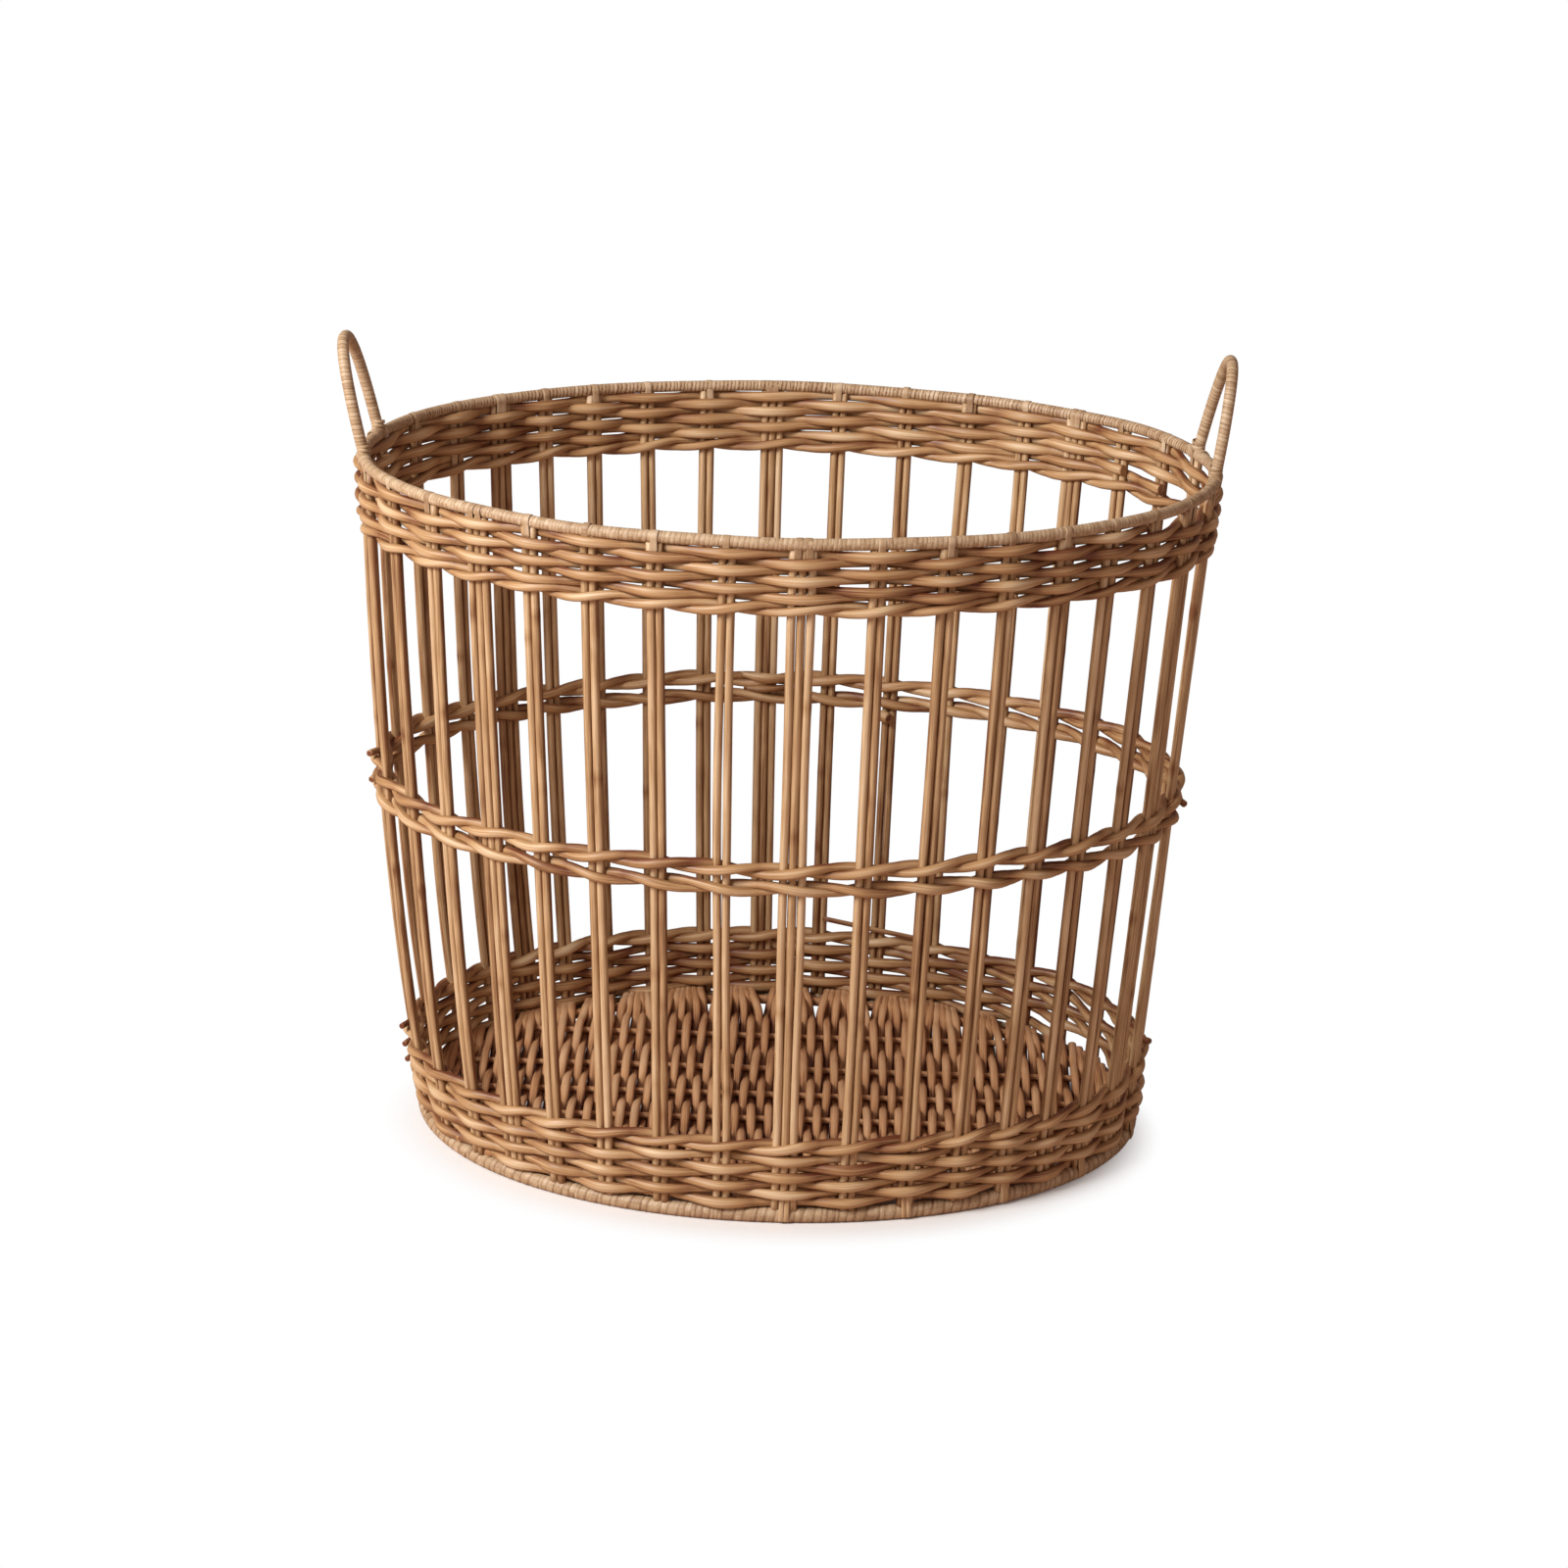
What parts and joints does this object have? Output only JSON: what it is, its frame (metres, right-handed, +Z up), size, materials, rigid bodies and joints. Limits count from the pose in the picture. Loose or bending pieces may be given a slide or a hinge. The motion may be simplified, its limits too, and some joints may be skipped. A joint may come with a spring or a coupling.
{
  "type": "open oval cane basket",
  "caption": "Open oval basket of woven cane with two upright loop handles at its ends, for laundry or storage.",
  "frame": {"origin": "centre of the oval at the level of the foot hoop's underside, midway between the handles' outer sides", "axes": "+Z up; +X along the oval's long axis, towards the handle that the picture shows on the right; +Y towards the back of the picture"},
  "size_m": [0.5662, 0.4152, 0.5256],
  "materials": {
    "stakes": "satin",
    "wall_weavers": "satin",
    "bindings": "satin",
    "base_canes": "satin"
  },
  "bodies": {
    "root": {"stake_01": "stakes", "stake_02": "stakes", "stake_03": "stakes", "stake_04": "stakes", "stake_05": "stakes", "stake_06": "stakes", "stake_07": "stakes", "stake_08": "stakes", "stake_09": "stakes", "stake_10": "stakes", "stake_11": "stakes", "stake_12": "stakes", "stake_13": "stakes", "stake_14": "stakes", "stake_15": "stakes", "stake_16": "stakes", "stake_17": "stakes", "stake_18": "stakes", "stake_19": "stakes", "stake_20": "stakes", "stake_21": "stakes", "stake_22": "stakes", "stake_23": "stakes", "stake_24": "stakes", "stake_25": "stakes", "stake_26": "stakes", "stake_27": "stakes", "stake_28": "stakes", "stake_29": "stakes", "stake_30": "stakes", "stake_31": "stakes", "stake_32": "stakes", "stake_33": "stakes", "stake_34": "stakes", "stake_35": "stakes", "stake_36": "stakes", "bottom_band_weaver_a": "wall_weavers", "bottom_band_weaver_b": "wall_weavers", "bottom_pairing_a": "wall_weavers", "bottom_pairing_b": "wall_weavers", "middle_lower_pairing_a": "wall_weavers", "middle_lower_pairing_b": "wall_weavers", "middle_upper_pairing_a": "wall_weavers", "middle_upper_pairing_b": "wall_weavers", "top_pairing_a": "wall_weavers", "top_pairing_b": "wall_weavers", "top_band_weaver_a": "wall_weavers", "top_band_weaver_b": "wall_weavers", "rim_hoop": "bindings", "foot_hoop": "bindings", "handle_left": "bindings", "handle_right": "bindings", "base_hoop": "base_canes", "base_weaver": "base_canes", "base_stick_1": "base_canes", "base_stick_2": "base_canes", "base_stick_3": "base_canes", "base_stick_4": "base_canes", "base_stick_5": "base_canes"}
  },
  "joints": []
}
